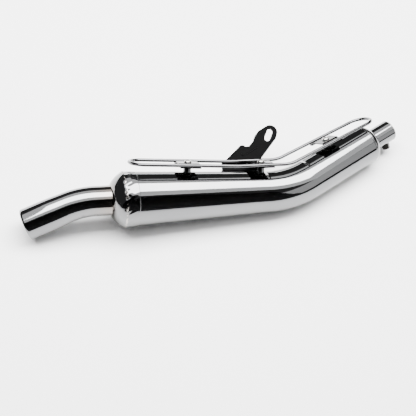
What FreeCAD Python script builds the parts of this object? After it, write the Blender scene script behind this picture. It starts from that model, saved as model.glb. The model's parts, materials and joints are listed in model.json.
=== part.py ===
"""Upswept exhaust muffler of a small trail motorcycle, as a parametric FreeCAD document.

The casing has two straight centrelines that meet at the knee.  The front one runs forward to the
inlet, the rear one runs back to the outlet.  Every piece is drawn in a local frame on one of them,
and one placement per frame puts it in the part's own frame: origin at the centre of the inlet
mouth, +X to the rear along the casing, +Z up as the muffler lies on a floor.
"""
import FreeCAD, Part
import math
import os
import Sketcher
from FreeCAD import Placement, Rotation, Vector

DOC = FreeCAD.newDocument("ExhaustMuffler")

# ---------------------------------------------------------------- driving dimensions (mm, degrees)
DRIVING = (
    ("sheet_wall", 1.5, "pressed casing sheet"),
    ("fit_gap", 0.1, "radial play of welded-in inner pieces"),
    ("knee_angle", 28.0, "turn between the front and rear centrelines"),
    ("knee_reach", 36.0, "corner of the centrelines to each end of the knee"),
    ("front_radius", 38.5, "casing radius at the front seam"),
    ("knee_radius", 29.3, "casing radius through the knee"),
    ("rear_radius", 28.6, "casing radius at the rear seam"),
    ("front_seam", 242.0, "corner to the front seam"),
    ("rear_seam", 155.0, "corner to the rear seam"),
    ("front_dome_depth", 18.0, "axial depth of the front end cap"),
    ("rear_dome_depth", 12.0, "axial depth of the rear end cap"),
    ("front_dome_ease", 5.0, "front cap's shoulder radius beyond a quarter round"),
    ("rear_dome_ease", 0.4, "rear cap's shoulder radius beyond a quarter round"),
    ("pipe_radius", 19.0, "inlet pipe outside radius at the front cap"),
    ("socket_radius", 22.4, "inlet socket outside radius"),
    ("socket_bore", 20.9, "inlet socket bore radius"),
    ("socket_length", 38.0, "length of the straight inlet socket"),
    ("flare_length", 18.0, "length of the flare between bend and socket"),
    ("flare_radius", 21.3, "pipe outside radius at the end of the bend"),
    ("pipe_lead", 20.0, "straight pipe in front of the front cap"),
    ("pipe_insert", 6.0, "pipe inside the front cap"),
    ("pipe_bend_radius", 105.0, "inlet pipe bend, on its centreline"),
    ("pipe_bend_angle", 24.4, "inlet pipe bend angle"),
    ("pipe_bend_clock", 26.5, "turn of the bend plane from straight down"),
    ("outlet_radius", 16.0, "outlet pipe outside radius"),
    ("outlet_end", 206.0, "corner to the outlet's end"),
    ("outlet_start", 66.0, "corner to the tail core's inner end"),
    ("core_joint", 150.0, "corner to the joint of the tail core and the tail pipe"),
    ("bead", 1.9, "half the width of a weld bead"),
    ("bead_crown", 1.1, "height of a weld bead"),
    ("core_radius", 17.4, "perforated inlet core outside radius"),
    ("core_end", 118.0, "corner to the rear end of the inlet core"),
    ("core_wall", 1.2, "wall of the inner tubes"),
    ("front_baffle", 158.0, "corner to the front baffle"),
    ("mid_baffle", 68.0, "corner to the middle baffle"),
    ("rear_baffle", 92.0, "corner to the rear baffle"),
    ("baffle_flange", 7.0, "axial length of a baffle's turned flange"),
    ("transfer_radius", 5.0, "transfer tube outside radius"),
    ("transfer_pitch", 23.0, "transfer tubes' distance from the centreline"),
    ("transfer_length", 130.0, "transfer tube length"),
    ("return_length", 44.0, "return tube length"),
    ("perforation", 2.6, "radius of a perforation"),
    ("packing_length", 44.0, "length of the fibre packing"),
    ("guard_clock", 48.0, "turn of the heat guard from the knee plane's normal"),
    ("wire_radius", 2.4, "heat guard wire radius"),
    ("guard_half", 21.0, "half the spacing of the guard's two rails"),
    ("guard_half_rear", 18.9, "half the spacing at the rear loop"),
    ("guard_front", 232.4, "corner to the front loop's apex"),
    ("guard_bend", 83.0, "corner to the guard's slight front bend"),
    ("guard_rear", 174.0, "corner to the rear loop's apex"),
    ("guard_lift_front", 52.0, "rail height over the centreline at the front loop"),
    ("guard_lift", 43.0, "rail height over the centreline at the knee"),
    ("guard_lift_rear", 35.0, "rail height over the centreline at the rear loop"),
    ("clip_front", 150.0, "corner to the front clip"),
    ("clip_middle", 43.0, "corner to the middle clip"),
    ("clip_rear", 90.0, "corner to the rear clip"),
    ("clip_length", 30.0, "clip length along the rails"),
    ("clip_sheet", 1.5, "clip sheet thickness"),
    ("clip_seat", 1.2, "clip's raised seat over the rails' centre"),
    ("rail_gap", 0.05, "play between the rails and the clips' cradles"),
    ("screw_radius", 3.0, "guard screw radius"),
    ("screw_length", 9.5, "guard screw length under its head"),
    ("tap_depth", 6.6, "depth of the tapped hole in a guard post"),
    ("head_radius", 5.4, "guard screw head radius"),
    ("head_height", 3.3, "guard screw head height"),
    ("socket_key", 2.0, "radius of the screw's hexagon socket corners"),
    ("post_radius", 5.5, "guard post radius"),
    ("bush_radius", 7.5, "insulating bush radius"),
    ("bush_height", 2.4, "insulating bush height"),
    ("bracket_clock", 81.0, "turn of the bracket plane from the knee plane's normal"),
    ("bracket_sheet", 3.0, "bracket plate thickness"),
    ("foot_sheet", 2.0, "bracket foot thickness"),
    ("rib_height", 1.1, "height of the bracket's pressed rib"),
    ("rib_half", 2.6, "half the width of the bracket's rib"),
    ("foot_start", 37.0, "corner to the rear end of the bracket foot"),
    ("foot_end", 98.0, "corner to the front end of the bracket foot"),
    ("foot_wrap", 40.0, "angle that the bracket foot wraps round the casing"),
    ("fillet_leg", 2.8, "leg of the bracket's fillet welds"),
    ("slot_half_width", 4.25, "half the width of the frame bolt's slot"),
    ("slot_centres", 13.0, "distance between the slot's end centres"),
    ("slot_along", 15.7, "slot centre, forward of the corner"),
    ("slot_out", 89.5, "slot centre, out from the centreline"),
    ("rib_along", 49.0, "rib centre, forward of the corner"),
    ("rib_out", 66.0, "rib centre, out from the centreline"),
    ("rib_turn", 149.6, "rib direction, from the casing's centreline"),
    ("rib_centres", 24.0, "distance between the rib's end centres"),
    ("slot_turn", 117.9, "slot direction, from the casing's centreline"),
    ("diffuser_radius", 11.5, "diffuser tube outside radius"),
    ("diffuser_depth", 92.0, "diffuser length"),
    ("collar_length", 16.0, "diffuser collar length"),
    ("collar_play", 0.08, "radial clearance of the diffuser collar"),
    ("lip_height", 1.2, "rolled lip of the diffuser collar"),
    ("bolt_station", 194.0, "corner to the diffuser bolt"),
    ("bolt_clock", 130.0, "turn of the diffuser bolt from the knee plane's normal, towards the outside"),
    ("bolt_radius", 3.0, "diffuser bolt radius"),
    ("boss_radius", 6.2, "corner radius of the boss under the diffuser bolt"),
    ("boss_height", 3.6, "height of the boss"),
    ("hex_radius", 5.6, "corner radius of the bolt head"),
    ("hex_height", 4.0, "height of the bolt head"),
    ("lie_pitch", 3.4, "nose-up pitch of the casing as it lies on a floor"),
    ("lie_roll", 5.8, "roll of the knee plane as it lies on a floor"),
)

# Outline of the bracket plate: forward of the corner, out from the centreline, radius of the round
# edge that follows (0 for a straight one).
PLATE_OUTLINE = (
    (92.7, 52.3, 0.0), (86.0, 52.9, 0.0), (63.6, 72.3, 6.0), (53.8, 71.9, 0.0), (48.7, 72.5, 0.0),
    (41.0, 80.4, 0.0), (37.4, 88.3, 0.0), (30.8, 96.0, 0.0), (17.4, 103.7, 10.4), (2.4, 90.8, 0.0),
    (5.8, 83.1, 0.0), (33.8, 51.9, 0.0),
)


class Size:
    """A number together with the spreadsheet expression that gives it."""

    def __init__(self, value, text):
        self.value = float(value)
        self.text = text

    def _join(self, other, sign, value):
        """Return the Size of two terms joined by an arithmetic sign."""
        other_text = other.text if isinstance(other, Size) else repr(other)
        return Size(value, f"({self.text} {sign} {other_text})")

    def __add__(self, other):
        return self._join(other, "+", self.value + float(other))

    def __sub__(self, other):
        return self._join(other, "-", self.value - float(other))

    def __mul__(self, other):
        return self._join(other, "*", self.value * float(other))

    def __truediv__(self, other):
        return self._join(other, "/", self.value / float(other))

    def cos(self):
        """Return the cosine of an angle in degrees."""
        return Size(math.cos(math.radians(self.value)), f"cos({self.text} * 1deg)")

    def sin(self):
        """Return the sine of an angle in degrees."""
        return Size(math.sin(math.radians(self.value)), f"sin({self.text} * 1deg)")

    def __neg__(self):
        return Size(-self.value, f"(0 - {self.text})")

    def __float__(self):
        return self.value


def make_sheet():
    """Fill the spreadsheet and return its sizes by name."""
    sheet = DOC.addObject("Spreadsheet::Sheet", "Sizes")
    sizes = {}
    for row, (alias, value, meaning) in enumerate(driving_rows(), start=1):
        sheet.set(f"A{row}", meaning)
        sheet.set(f"B{row}", str(value))
        sheet.setAlias(f"B{row}", alias)
        sizes[alias] = Size(value, f"Sizes.{alias}")
    DOC.recompute()
    return sizes


def driving_rows():
    """Return every row of the sheet, the bracket outline's included."""
    rows = list(DRIVING)
    for index, (along, out, arc) in enumerate(PLATE_OUTLINE, start=1):
        rows.append((f"plate_along_{index}", along, f"bracket outline point {index}, forward"))
        rows.append((f"plate_out_{index}", out, f"bracket outline point {index}, outward"))
        rows.append((f"plate_arc_{index}", arc, f"bracket outline point {index}, following radius"))
    return rows


D = make_sheet()
NIL = Size(0.0, "0")
NODES = []


# ---------------------------------------------------------------- frames
def turn(axis, angle):
    """Return a placement that turns about an axis through the origin by an angle in degrees."""
    return Placement(Vector(), Rotation(axis, float(angle)))


def shift(x=0.0, y=0.0, z=0.0):
    """Return a placement that moves without turning."""
    return Placement(Vector(float(x), float(y), float(z)), Rotation())


X_AXIS = Vector(1, 0, 0)
Y_AXIS = Vector(0, 1, 0)
Z_AXIS = Vector(0, 0, 1)
FORWARD = turn(Z_AXIS, 180)

# The inlet pipe leaves the front cap along the centreline and then bends towards bend_side.
nose_station = D["front_seam"] + D["front_dome_depth"]
pipe_start = shift(x=-float(nose_station)) * FORWARD * turn(X_AXIS, 90 + float(D["pipe_bend_clock"]))
bend_sweep = math.radians(float(D["pipe_bend_angle"]))
bend_end = (
    pipe_start
    * shift(x=D["pipe_lead"])
    * shift(x=float(D["pipe_bend_radius"]) * math.sin(bend_sweep),
            y=-float(D["pipe_bend_radius"]) * (1 - math.cos(bend_sweep)))
    * turn(Z_AXIS, -float(D["pipe_bend_angle"]))
)
mouth = bend_end * shift(x=D["flare_length"] + D["socket_length"])

LIE = turn(Y_AXIS, D["lie_pitch"]) * turn(X_AXIS, D["lie_roll"])
TO_ROW = shift(*(-(LIE * mouth).Base)) * LIE

FRONT = TO_ROW
FRONT_FORWARD = TO_ROW * FORWARD
REAR = TO_ROW * turn(Z_AXIS, D["knee_angle"])
GUARD_FRONT = FRONT_FORWARD * turn(X_AXIS, D["guard_clock"])
GUARD_REAR = REAR * turn(X_AXIS, -float(D["guard_clock"]))
PIPE_START = TO_ROW * pipe_start
BEND_END = TO_ROW * bend_end
BRACKET = FRONT_FORWARD * turn(X_AXIS, D["bracket_clock"])
BOLT = REAR * turn(X_AXIS, D["bolt_clock"]) * shift(x=D["bolt_station"])


# ---------------------------------------------------------------- building blocks
class Corner:
    """A corner of an outline; arc gives the radius of the edge that leaves it, if it is round."""

    def __init__(self, across, up, arc=None, left=True):
        self.across = across
        self.up = up
        self.arc = arc
        self.left = left


def corners(*pairs):
    """Return corners joined by straight edges."""
    return [Corner(across, up) for across, up in pairs]


def edge_between(start, end):
    """Return the geometry of one outline edge and the numbers of its start and end points."""
    first = Vector(float(start.across), float(start.up), 0)
    last = Vector(float(end.across), float(end.up), 0)
    if start.arc is None:
        return Part.LineSegment(first, last), 1, 2
    chord = last - first
    radius = float(start.arc)
    rise = math.sqrt(max(radius ** 2 - (chord.Length / 2) ** 2, 0.0))
    normal = Vector(-chord.y, chord.x, 0).normalize()
    centre = (first + last) * 0.5 + normal * (rise if start.left else -rise)
    from_angle = math.atan2(first.y - centre.y, first.x - centre.x)
    to_angle = math.atan2(last.y - centre.y, last.x - centre.x)
    circle = Part.Circle(centre, Z_AXIS, radius)
    if start.left:
        return Part.ArcOfCircle(circle, from_angle, to_angle), 1, 2
    return Part.ArcOfCircle(circle, to_angle, from_angle), 2, 1


def hold(sketch, kind, first, point, size):
    """Fix one coordinate of a point from the origin and bind it to the spreadsheet."""
    if abs(float(size)) < 1e-9:
        axis = -1 if kind == "DistanceY" else -2
        sketch.addConstraint(Sketcher.Constraint("PointOnObject", first, point, axis))
        return
    index = sketch.addConstraint(Sketcher.Constraint(kind, -1, 1, first, point, float(size)))
    sketch.setExpression(f"Constraints[{index}]", size.text)


def origin_plane(body, role):
    """Return one of a body's own origin planes or axes by its role."""
    for feature in body.Origin.OriginFeatures:
        if feature.Role == role:
            return feature
    raise ValueError(role)


def new_sketch(body, name, role, lift=None):
    """Add a sketch on one of the body's origin planes, lifted along the plane's normal."""
    sketch = body.newObject("Sketcher::SketchObject", name)
    sketch.AttachmentSupport = (origin_plane(body, role), "")
    sketch.MapMode = "FlatFace"
    if lift is not None:
        sketch.setExpression("AttachmentOffset.Base.z", lift.text)
    return sketch


def draw_outline(sketch, outline):
    """Draw a closed outline whose every corner is bound to the spreadsheet."""
    base = sketch.GeometryCount
    ends = []
    count = len(outline)
    for index, start in enumerate(outline):
        geometry, first, last = edge_between(start, outline[(index + 1) % count])
        sketch.addGeometry(geometry)
        ends.append((first, last))
    for index, start in enumerate(outline):
        after = (index + 1) % count
        joint = Sketcher.Constraint("Coincident", base + index, ends[index][1], base + after, ends[after][0])
        sketch.addConstraint(joint)
        hold(sketch, "DistanceX", base + index, ends[index][0], start.across)
        hold(sketch, "DistanceY", base + index, ends[index][0], start.up)
        if start.arc is not None:
            radius = sketch.addConstraint(Sketcher.Constraint("Radius", base + index, float(start.arc)))
            sketch.setExpression(f"Constraints[{radius}]", start.arc.text)


def draw_circle(sketch, across, up, radius):
    """Draw a circle with its centre and radius bound to the spreadsheet."""
    index = sketch.addGeometry(Part.Circle(Vector(float(across), float(up), 0), Z_AXIS, float(radius)))
    hold(sketch, "DistanceX", index, 3, across)
    hold(sketch, "DistanceY", index, 3, up)
    constraint = sketch.addConstraint(Sketcher.Constraint("Radius", index, float(radius)))
    sketch.setExpression(f"Constraints[{constraint}]", radius.text)


def register(item, label, frame):
    """Name a finished piece, place it in the part's frame and list it for export."""
    item.Label = label
    item.Placement = frame
    NODES.append(item)
    return item


def new_body(name):
    """Add an empty body."""
    return DOC.addObject("PartDesign::Body", "Body_" + name)


def turned(label, outline, frame, finish=True, wrap=None):
    """Revolve an outline, along the axis and out from it, about the local X axis."""
    body = new_body(label)
    sketch = new_sketch(body, label + "_profile", "XZ_Plane")
    draw_outline(sketch, outline)
    revolution = body.newObject("PartDesign::Revolution", label + "_turned")
    revolution.Profile = sketch
    revolution.ReferenceAxis = (sketch, ["H_Axis"])
    revolution.Angle = 360.0
    if wrap is not None:
        revolution.Midplane = True
        revolution.setExpression("Angle", wrap.text)
    if finish:
        register(body, label, frame)
    return body


def tube_outline(start, end, outer_start, outer_end, wall):
    """Return the section of a straight or tapered tube."""
    return corners(
        (start, outer_start - wall), (end, outer_end - wall), (end, outer_end), (start, outer_start)
    )


def padded(label, outline, role, length, frame, lift=None, midplane=True, finish=True):
    """Push an outline out of one of the body's planes."""
    body = new_body(label)
    sketch = new_sketch(body, label + "_outline", role, lift)
    draw_outline(sketch, outline)
    pad = body.newObject("PartDesign::Pad", label + "_pad")
    pad.Profile = sketch
    pad.SideType = "Symmetric" if midplane else "One side"
    pad.setExpression("Length", length.text)
    if finish:
        register(body, label, frame)
    return body


def pocket_through(body, sketch, name):
    """Cut a sketch right through a body both ways, and check that it removed material."""
    DOC.recompute()
    before = body.Shape.Volume
    pocket = body.newObject("PartDesign::Pocket", name)
    pocket.Profile = sketch
    pocket.Type = "ThroughAll"
    pocket.SideType = "Symmetric"
    DOC.recompute()
    if body.Shape.Volume >= before:
        raise RuntimeError(f"{name} cut nothing")
    return pocket


def polar(radius, degrees):
    """Return sideways and upward Sizes of a point at a radius and an angle from up."""
    angle = math.radians(degrees)
    return radius * round(math.sin(angle), 6), radius * round(math.cos(angle), 6)


def perforate(body, label, stations, start, pitch, around):
    """Cut rows of round holes through a tube's wall, spaced along it and around it."""
    hole = new_sketch(body, label + "_hole", "XY_Plane")
    draw_circle(hole, start, NIL, D["perforation"])
    DOC.recompute()
    before = body.Shape.Volume
    drill = body.newObject("PartDesign::Pocket", label + "_drill")
    drill.Profile = hole
    drill.Type = "ThroughAll"
    drill.SideType = "Symmetric"
    row = body.newObject("PartDesign::MultiTransform", label + "_grid")
    line = body.newObject("PartDesign::LinearPattern", label + "_row")
    line.Direction = (origin_plane(body, "X_Axis"), [""])
    line.Length = float(pitch) * (stations - 1)
    line.setExpression("Length", (pitch * (stations - 1)).text)
    line.Occurrences = stations
    ring = body.newObject("PartDesign::PolarPattern", label + "_ring")
    ring.Axis = (origin_plane(body, "X_Axis"), [""])
    ring.Angle = 180.0
    ring.Occurrences = around
    row.Originals = [drill]
    row.Transformations = [line, ring]
    body.Tip = row
    DOC.recompute()
    if body.Shape.Volume >= before:
        raise RuntimeError(f"{label} has no perforations")


def cone_radius(near, far, reach_near, reach_far, station):
    """Return the radius of a straight taper at a station."""
    share = (float(station) - float(reach_near)) / (float(reach_far) - float(reach_near))
    return float(near) + (float(far) - float(near)) * share


def front_casing(station):
    """Return the outside radius of the front casing at a distance forward of the corner."""
    return cone_radius(D["knee_radius"], D["front_radius"], D["knee_reach"], D["front_seam"], station)


def rear_casing(station):
    """Return the outside radius of the rear casing at a distance behind the corner."""
    return cone_radius(D["knee_radius"], D["rear_radius"], D["knee_reach"], D["rear_seam"], station)


# ---------------------------------------------------------------- casing
def dome_outline(seam, depth, rim, neck, wall, ease):
    """Return the section of a pressed end cap, a round shoulder from its rim in to its neck."""
    bow = (rim - neck + depth) / 2.0 + ease
    return [
        Corner(seam, rim, bow, False),
        Corner(seam + depth, neck),
        Corner(seam + depth - wall, neck, bow - wall, True),
        Corner(seam, rim - wall),
    ]


def build_casing():
    """Make the pressed casing: two end caps, two tapered shells and the knee between them."""
    wall = D["sheet_wall"]
    turned("front_shell", tube_outline(D["knee_reach"], D["front_seam"], D["knee_radius"],
                                       D["front_radius"], wall), FRONT_FORWARD)
    turned("rear_shell", tube_outline(D["knee_reach"], D["rear_seam"], D["knee_radius"],
                                      D["rear_radius"], wall), REAR)
    turned("front_dome", dome_outline(D["front_seam"], D["front_dome_depth"], D["front_radius"],
                                      D["pipe_radius"], wall, D["front_dome_ease"]), FRONT_FORWARD)
    turned("rear_dome", dome_outline(D["rear_seam"], D["rear_dome_depth"], D["rear_radius"],
                                     D["outlet_radius"], wall, D["rear_dome_ease"]), REAR)

    knee = new_body("knee_shell")
    ring = new_sketch(knee, "knee_section", "YZ_Plane")
    draw_circle(ring, NIL, NIL, D["knee_radius"])
    draw_circle(ring, NIL, NIL, D["knee_radius"] - wall)
    tangent = math.tan(math.radians(float(D["knee_angle"])) / 2)
    bend = Size(float(D["knee_reach"]) / tangent, "(Sizes.knee_reach / tan(Sizes.knee_angle * 1deg / 2))")
    pivot = ring.addGeometry(Part.LineSegment(Vector(float(bend), -10, 0), Vector(float(bend), 10, 0)), True)
    hold(ring, "DistanceX", pivot, 1, bend)
    ring.addConstraint(Sketcher.Constraint("Vertical", pivot))
    hold(ring, "DistanceY", pivot, 1, -D["sheet_wall"])
    hold(ring, "DistanceY", pivot, 2, D["sheet_wall"])
    sweep = knee.newObject("PartDesign::Revolution", "knee_bend")
    sweep.Profile = ring
    sweep.ReferenceAxis = (ring, ["Axis0"])
    sweep.setExpression("Angle", "Sizes.knee_angle")
    register(knee, "knee_shell", FRONT * shift(x=-float(D["knee_reach"])))
    return sweep


def bead_outline(station, radius, width, height):
    """Return the section of a weld bead that stands on a cylinder, with a rounded crown."""
    return [
        Corner(station - width, radius),
        Corner(station + width, radius, (width * width + height * height) / (height * 2), True),
    ]


def ring_bead(label, station, radius, frame):
    """Make a ring-shaped weld bead round a tube."""
    width = D["bead"]
    turned(label, bead_outline(station, radius, width, D["bead_crown"]), frame)


# ---------------------------------------------------------------- inlet pipe
def circle_wire(frame, radius):
    """Return a circle in a frame's YZ plane."""
    return Part.Wire(Part.Circle(frame.Base, frame.Rotation.multVec(X_AXIS), float(radius)).toShape())


def bend_solid(start_radius, end_radius):
    """Return the solid that a circle sweeps round the inlet bend while its radius changes evenly."""
    steps = 6
    sections = []
    for step in range(steps + 1):
        share = step / steps
        angle = bend_sweep * share
        reach = float(D["pipe_bend_radius"])
        frame = shift(x=reach * math.sin(angle), y=-reach * (1 - math.cos(angle))) * turn(
            Z_AXIS, -math.degrees(angle))
        sections.append(circle_wire(frame, float(start_radius) + (float(end_radius) - float(start_radius)) * share))
    return Part.makeLoft(sections, True, False)


def build_inlet():
    """Make the bent inlet pipe and the flared socket that takes the header pipe."""
    wall = D["sheet_wall"]
    lead = D["pipe_lead"]
    root = Vector(-float(D["pipe_insert"]), 0, 0)
    run = float(lead + D["pipe_insert"])
    straight = Part.makeCylinder(float(D["pipe_radius"]), run, root, X_AXIS)
    bore = Part.makeCylinder(float(D["pipe_radius"] - wall), run, root, X_AXIS)
    bend = bend_solid(D["pipe_radius"], D["flare_radius"])
    bend = bend.cut(bend_solid(D["pipe_radius"] - wall, D["flare_radius"] - wall))
    bend.Placement = shift(x=lead)
    pipe = DOC.addObject("Part::Feature", "InletPipe")
    pipe.Shape = straight.cut(bore).fuse(bend)
    register(pipe, "inlet_pipe", PIPE_START)

    flare = D["flare_length"]
    end = flare + D["socket_length"]
    turned("inlet_socket", corners(
        (NIL, D["flare_radius"] - wall), (flare, D["socket_bore"]), (end, D["socket_bore"]),
        (end, D["socket_radius"]), (flare, D["socket_radius"]), (NIL, D["flare_radius"])), BEND_END)


# ---------------------------------------------------------------- gas path
def build_inner_tubes():
    """Make the perforated inlet core, the transfer and return tubes, the tail core and the tail pipe."""
    wall = D["core_wall"]
    core = turned("inlet_core", tube_outline(D["core_end"], nose_station + 4.0, D["core_radius"],
                                             D["core_radius"], wall), FRONT_FORWARD, finish=False)
    perforate(core, "inlet_core", 5, D["front_baffle"] + 16.0, D["perforation"] * 5.0, 5)
    register(core, "inlet_core", FRONT_FORWARD)

    radius = D["transfer_radius"]
    start = D["mid_baffle"] - 12.0
    for name, clock in (("transfer_tube_upper", 30.0), ("transfer_tube_lower", 210.0)):
        outline = tube_outline(start, start + D["transfer_length"], radius, radius, wall)
        side, lift = polar(D["transfer_pitch"], clock)
        turned(name, outline, FRONT_FORWARD * shift(y=side, z=lift))
    side, lift = polar(D["transfer_pitch"], 120.0)
    start = D["front_baffle"] - 14.0
    turned("return_tube", tube_outline(start, start + D["return_length"], radius, radius, wall),
           FRONT_FORWARD * shift(y=side, z=lift))

    tail_core = turned("tail_core", tube_outline(D["outlet_start"], D["core_joint"], D["outlet_radius"],
                                                 D["outlet_radius"], D["sheet_wall"]), REAR, finish=False)
    perforate(tail_core, "tail_core", 4, D["rear_baffle"] + 14.0, D["perforation"] * 4.0, 8)
    register(tail_core, "tail_core", REAR)
    tail = turned("tail_pipe", tube_outline(D["core_joint"], D["outlet_end"], D["outlet_radius"],
                                            D["outlet_radius"], D["sheet_wall"]), REAR, finish=False)
    bolt_hole = new_sketch(tail, "tail_bolt_hole", "XY_Plane")
    draw_circle(bolt_hole, D["bolt_station"], NIL, D["bolt_radius"] + 0.1)
    DOC.recompute()
    drill = tail.newObject("PartDesign::Pocket", "tail_bolt_drill")
    drill.Profile = bolt_hole
    drill.Type = "ThroughAll"
    drill.Reversed = True
    register(tail, "tail_pipe", REAR * turn(X_AXIS, D["bolt_clock"]))


def baffle(label, station, radius, frame, holes):
    """Make a pressed baffle plate with a turned flange and flanged holes for its tubes."""
    sheet = D["sheet_wall"]
    rim = radius
    outline = corners(
        (station, NIL), (station + sheet, NIL), (station + sheet, rim - sheet),
        (station + D["baffle_flange"], rim - sheet), (station + D["baffle_flange"], rim), (station, rim),
    )
    body = turned(label, outline, frame, finish=False)
    drawing = new_sketch(body, label + "_holes", "YZ_Plane", station)
    for side, lift, size in holes:
        draw_circle(drawing, side, lift, size)
    pocket_through(body, drawing, label + "_pierced")
    register(body, label, frame)


def rim_size(near, far, reach_near, reach_far, station):
    """Return the bound rim radius of a baffle at a station of a straight taper."""
    text = (f"({near.text} + ({far.text} - {near.text}) * ({station.text} - {reach_near.text})"
            f" / ({reach_far.text} - {reach_near.text}) - Sizes.sheet_wall - Sizes.fit_gap)")
    value = (cone_radius(near, far, reach_near, reach_far, station)
             - float(D["sheet_wall"]) - float(D["fit_gap"]))
    return Size(value, text)


def build_baffles():
    """Make the three baffles and the perforated sleeve with its packing round the tail pipe."""
    front = (D["knee_radius"], D["front_radius"], D["knee_reach"], D["front_seam"])
    rear = (D["knee_radius"], D["rear_radius"], D["knee_reach"], D["rear_seam"])
    play = D["fit_gap"]
    tube_hole = D["transfer_radius"] + play
    upper = polar(D["transfer_pitch"], 30.0)
    lower = polar(D["transfer_pitch"], 210.0)
    back = polar(D["transfer_pitch"], 120.0)
    baffle("front_baffle", D["front_baffle"], rim_size(*front, D["front_baffle"]), FRONT_FORWARD,
           [(NIL, NIL, D["core_radius"] + play), (*upper, tube_hole), (*lower, tube_hole), (*back, tube_hole)])
    baffle("middle_baffle", D["mid_baffle"], rim_size(*front, D["mid_baffle"]), FRONT_FORWARD,
           [(*upper, tube_hole), (*lower, tube_hole)])
    baffle("rear_baffle", D["rear_baffle"], rim_size(*rear, D["rear_baffle"] + D["baffle_flange"]), REAR,
           [(NIL, NIL, D["outlet_radius"] + play)])

    start = D["rear_baffle"] + D["baffle_flange"] + 0.5
    end = start + D["packing_length"]
    outer = D["rear_radius"] - D["sheet_wall"] - play
    hole = D["outlet_radius"] + play
    turned("fibre_packing", tube_outline(start, end, outer, outer, outer - hole), REAR)
    turned("packing_washer", tube_outline(end + play, end + D["sheet_wall"], outer, outer, outer - hole), REAR)


# ---------------------------------------------------------------- removable diffuser
def build_diffuser():
    """Make the diffuser that slides into the tail pipe, its collar and its clamping bolt."""
    wall = D["core_wall"]
    bore = D["outlet_radius"] - D["sheet_wall"]
    fit = bore - D["collar_play"]
    end = D["outlet_end"]
    start = end - D["diffuser_depth"]
    tube = turned("diffuser_tube", tube_outline(start, end - 3.0, D["diffuser_radius"],
                                                D["diffuser_radius"], wall), REAR, finish=False)
    perforate(tube, "diffuser_tube", 3, start + 8.0, D["perforation"] * 4.2, 2)
    register(tube, "diffuser_tube", REAR)
    neck = D["diffuser_radius"]
    turned("diffuser_collar", corners(
        (end - D["collar_length"], fit - wall), (end - 5.0, fit - wall), (end - 4.2, neck),
        (end - 3.0, neck), (end - 3.0, fit - wall), (end + D["lip_height"], fit - wall),
        (end + D["lip_height"], D["outlet_radius"]), (end + 0.1, D["outlet_radius"]),
        (end + 0.1, fit), (end - D["collar_length"], fit)), REAR)
    turned("diffuser_cap", corners(
        (start - wall, NIL), (start - 0.05, NIL), (start - 0.05, neck), (start - wall, neck)), REAR)

    seat = D["outlet_radius"] + D["boss_height"]
    boss = padded("diffuser_boss", hexagon(D["boss_radius"]), "XY_Plane", D["boss_height"] * 2.0, BOLT,
                  lift=seat - D["boss_height"] * 2.0, midplane=False, finish=False)
    saddle = new_sketch(boss, "boss_saddle", "YZ_Plane")
    draw_circle(saddle, NIL, NIL, D["outlet_radius"])
    pocket_through(boss, saddle, "boss_saddle_cut")
    bore_sketch = new_sketch(boss, "boss_bore", "XY_Plane", seat)
    draw_circle(bore_sketch, NIL, NIL, D["bolt_radius"] + 0.05)
    pocket_through(boss, bore_sketch, "boss_drill")
    register(boss, "diffuser_boss", BOLT)

    tip = bore + 0.3
    bolt = padded("diffuser_bolt", hexagon(D["hex_radius"]), "XY_Plane", D["hex_height"], BOLT,
                  lift=seat, midplane=False, finish=False)
    shank = new_sketch(bolt, "bolt_shank", "XY_Plane", tip)
    draw_circle(shank, NIL, NIL, D["bolt_radius"])
    rod = bolt.newObject("PartDesign::Pad", "bolt_rod")
    rod.Profile = shank
    rod.setExpression("Length", (seat - tip + 0.5).text)
    register(bolt, "diffuser_bolt", BOLT)


def hexagon(radius):
    """Return a regular hexagon of a corner radius."""
    return [Corner(*polar(radius, 60.0 * side)) for side in range(6, 0, -1)]


# ---------------------------------------------------------------- heat guard
def rounded_path(points, radii):
    """Return a closed wire through points, with a tangent arc of its own radius at each one."""
    count = len(points)
    tangents = []
    for index, point in enumerate(points):
        back = (points[index - 1] - point).normalize()
        ahead = (points[(index + 1) % count] - point).normalize()
        half = math.acos(max(-1.0, min(1.0, back.dot(ahead)))) / 2
        setback = radii[index] / math.tan(half)
        middle = (back + ahead).normalize()
        centre = point + middle * (radii[index] / math.sin(half))
        tangents.append((point + back * setback, centre - middle * radii[index], point + ahead * setback))
    edges = []
    for index, (enter, apex, leave) in enumerate(tangents):
        edges.append(Part.Arc(enter, apex, leave).toShape())
        following = tangents[(index + 1) % count][0]
        if (following - leave).Length > 1e-4:
            edges.append(Part.LineSegment(leave, following).toShape())
    return Part.Wire(edges)


def guard_points():
    """Return the corners of the guard's centreline in the row frame's untilted parent frame."""
    tilt = turn(X_AXIS, -float(D["guard_clock"]))
    knee = turn(Z_AXIS, D["knee_angle"])
    corner_share = math.tan(math.radians(float(D["knee_angle"])) / 2)
    rails = {}
    for side in (-1, 1):
        half = side * float(D["guard_half"])
        front_end = tilt.multVec(Vector(-float(D["guard_front"]), half, float(D["guard_lift_front"])))
        bend = tilt.multVec(Vector(-float(D["guard_bend"]), half, float(D["guard_lift"])))
        offset = tilt.multVec(Vector(0, half, float(D["guard_lift"])))
        elbow = offset - Vector(offset.y * corner_share, 0, 0)
        rear_end = knee.multVec(tilt.multVec(
            Vector(float(D["guard_rear"]), side * float(D["guard_half_rear"]), float(D["guard_lift_rear"]))))
        rails[side] = [front_end, bend, elbow, rear_end]
    return rails[-1] + rails[1][::-1]


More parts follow.
